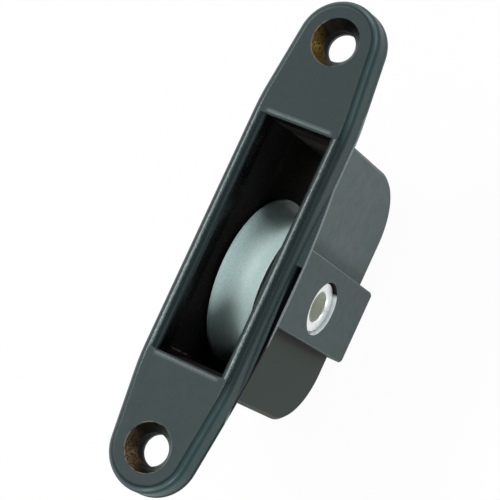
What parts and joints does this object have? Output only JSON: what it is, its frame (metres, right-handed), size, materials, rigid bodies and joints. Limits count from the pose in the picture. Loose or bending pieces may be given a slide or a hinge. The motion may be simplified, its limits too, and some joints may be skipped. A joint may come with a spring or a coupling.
{
  "type": "flush sheave box",
  "caption": "Flush-mounted sheave box: a long face frame with a countersunk hole in each round end, a narrow housing behind it, and a grooved rope sheave on a tubular axle.",
  "frame": {"origin": "midway between the two screw holes, on the mating plane under the housing's lip", "axes": "+X along the face frame to the end where the rope passes, +Z out of the face, sheave axis along Y"},
  "size_m": [0.1038, 0.0238, 0.0435],
  "materials": {
    "painted_casting": "satin",
    "dark_housing": "satin",
    "bare_aluminium": "machined",
    "grey_plastic": "matt"
  },
  "bodies": {
    "box": {"face_frame": "painted_casting", "housing": "dark_housing", "axle_tube": "bare_aluminium"},
    "wheel": {"sheave": "grey_plastic"}
  },
  "joints": [
    {"name": "sheave_spin", "type": "hinge", "parent": "box", "child": "wheel", "pos_m": [-0.0041, 0, -0.0172], "axis": [0, -1, 0], "continuous": true}
  ]
}
